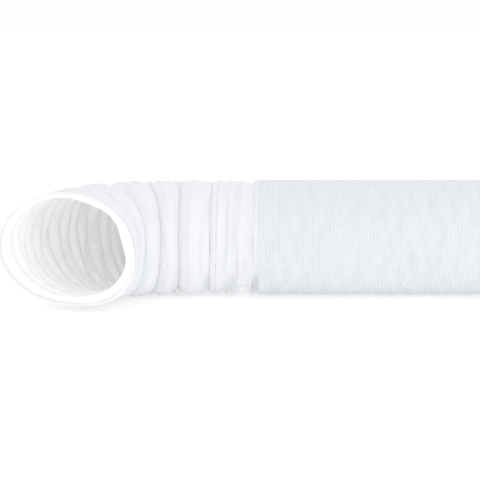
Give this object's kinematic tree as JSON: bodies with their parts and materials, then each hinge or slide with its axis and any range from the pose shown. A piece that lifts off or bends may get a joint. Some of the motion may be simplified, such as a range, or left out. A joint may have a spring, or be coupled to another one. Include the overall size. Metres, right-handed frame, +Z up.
{
  "type": "flexible air duct",
  "caption": "Flexible round air duct of film on a wire helix: closed pack at one end, drawn out and bent into an elbow at the other.",
  "frame": {"origin": "on the surface the duct lies on, under the middle of the whole object", "axes": "+X along the straight part, from the elbow to the closed pack; the mouth opens towards -Y; +Z up"},
  "size_m": [0.481, 0.1538, 0.1048],
  "materials": {
    "film": "thin white PVC film, satin",
    "hem": "white welded film band",
    "wire": "drawn spring steel"
  },
  "bodies": {
    "pack_1": {"pack_1_inner_film": "film", "pack_1_outer_film": "film", "pack_1_wire": "wire", "far_hem": "hem"},
    "pack_2": {"pack_2_inner_film": "film", "pack_2_outer_film": "film", "pack_2_wire": "wire"},
    "pack_3": {"pack_3_inner_film": "film", "pack_3_outer_film": "film", "pack_3_wire": "wire"},
    "pack_4": {"pack_4_inner_film": "film", "pack_4_outer_film": "film", "pack_4_wire": "wire"},
    "pack_5": {"pack_5_inner_film": "film", "pack_5_outer_film": "film", "pack_5_wire": "wire"},
    "pack_6": {"pack_6_inner_film": "film", "pack_6_outer_film": "film", "pack_6_wire": "wire"},
    "pack_7": {"pack_7_inner_film": "film", "pack_7_outer_film": "film", "pack_7_wire": "wire"},
    "drawn_1": {"drawn_1_inner_ring": "film", "drawn_1_outer_ring": "film", "drawn_1_inner_fold": "film", "drawn_1_outer_fold": "film", "drawn_1_wire": "wire"},
    "drawn_2": {"drawn_2_inner_ring": "film", "drawn_2_outer_ring": "film", "drawn_2_inner_fold": "film", "drawn_2_outer_fold": "film", "drawn_2_wire": "wire"},
    "drawn_3": {"drawn_3_inner_ring": "film", "drawn_3_outer_ring": "film", "drawn_3_inner_fold": "film", "drawn_3_outer_fold": "film", "drawn_3_wire": "wire"},
    "elbow_1": {"elbow_1_inner_film": "film", "elbow_1_outer_film": "film", "elbow_1_wire": "wire"},
    "elbow_2": {"elbow_2_inner_film": "film", "elbow_2_outer_film": "film", "elbow_2_wire": "wire"},
    "elbow_3": {"elbow_3_inner_film": "film", "elbow_3_outer_film": "film", "elbow_3_wire": "wire"},
    "elbow_4": {"elbow_4_inner_film": "film", "elbow_4_outer_film": "film", "elbow_4_wire": "wire"},
    "elbow_5": {"elbow_5_inner_film": "film", "elbow_5_outer_film": "film", "elbow_5_wire": "wire", "mouth_hem": "hem"}
  },
  "joints": [
    {"name": "pack_pull", "type": "slide", "parent": "pack_7", "child": "pack_6", "axis": [1, 0, 0], "range_m": [0, 0.1272]},
    {"name": "pack_pull_2", "type": "slide", "parent": "pack_6", "child": "pack_5", "axis": [1, 0, 0], "range_m": [0, 0.1272]},
    {"name": "pack_pull_3", "type": "slide", "parent": "pack_5", "child": "pack_4", "axis": [1, 0, 0], "range_m": [0, 0.1272]},
    {"name": "pack_pull_4", "type": "slide", "parent": "pack_4", "child": "pack_3", "axis": [1, 0, 0], "range_m": [0, 0.1272]},
    {"name": "pack_pull_5", "type": "slide", "parent": "pack_3", "child": "pack_2", "axis": [1, 0, 0], "range_m": [0, 0.1272]},
    {"name": "pack_pull_6", "type": "slide", "parent": "pack_2", "child": "pack_1", "axis": [1, 0, 0], "range_m": [0, 0.1272]},
    {"name": "squeeze", "type": "slide", "parent": "pack_7", "child": "drawn_1", "axis": [1, 0, 0], "range_m": [-0.0052, 0.0155], "deforming": ["drawn_1_inner_fold", "drawn_1_outer_fold", "drawn_1_wire"]},
    {"name": "lift", "type": "hinge", "parent": "drawn_1", "child": "drawn_2", "pos_m": [-0.04638, 0.02447, 0.026], "axis": [0, 1, 0], "range_deg": [0, 11], "deforming": ["drawn_2_inner_fold", "drawn_2_outer_fold", "drawn_2_wire"]},
    {"name": "sway", "type": "hinge", "parent": "drawn_2", "child": "drawn_3", "pos_m": [-0.06838, 0.02447, 0.0524], "axis": [0, 0, 1], "range_deg": [-5.5, 5.5], "deforming": ["drawn_3_inner_fold", "drawn_3_outer_fold", "drawn_3_wire"]},
    {"name": "bend", "type": "hinge", "parent": "drawn_3", "child": "elbow_1", "pos_m": [-0.08238, 0.07687, 0.0524], "axis": [0, 0, 1], "range_deg": [-15.6, 0]},
    {"name": "bend_2", "type": "hinge", "parent": "elbow_1", "child": "elbow_2", "pos_m": [-0.12545, 0.07102, 0.0524], "axis": [0, 0, 1], "range_deg": [-15.6, 0]},
    {"name": "bend_3", "type": "hinge", "parent": "elbow_2", "child": "elbow_3", "pos_m": [-0.16543, 0.05378, 0.0524], "axis": [0, 0, 1], "range_deg": [-15.6, 0]},
    {"name": "bend_4", "type": "hinge", "parent": "elbow_3", "child": "elbow_4", "pos_m": [-0.19931, 0.02643, 0.0524], "axis": [0, 0, 1], "range_deg": [-15.6, 0]},
    {"name": "bend_5", "type": "hinge", "parent": "elbow_4", "child": "elbow_5", "pos_m": [-0.22458, -0.00903, 0.0524], "axis": [0, 0, 1], "range_deg": [-15.6, 0]}
  ],
  "couplings": [
    {"joint": "pack_pull_2", "follows": "pack_pull", "ratio": 1},
    {"joint": "pack_pull_3", "follows": "pack_pull", "ratio": 1},
    {"joint": "pack_pull_4", "follows": "pack_pull", "ratio": 1},
    {"joint": "pack_pull_5", "follows": "pack_pull", "ratio": 1},
    {"joint": "pack_pull_6", "follows": "pack_pull", "ratio": 1},
    {"joint": "bend_2", "follows": "bend", "ratio": 1},
    {"joint": "bend_3", "follows": "bend", "ratio": 1},
    {"joint": "bend_4", "follows": "bend", "ratio": 1},
    {"joint": "bend_5", "follows": "bend", "ratio": 1}
  ]
}
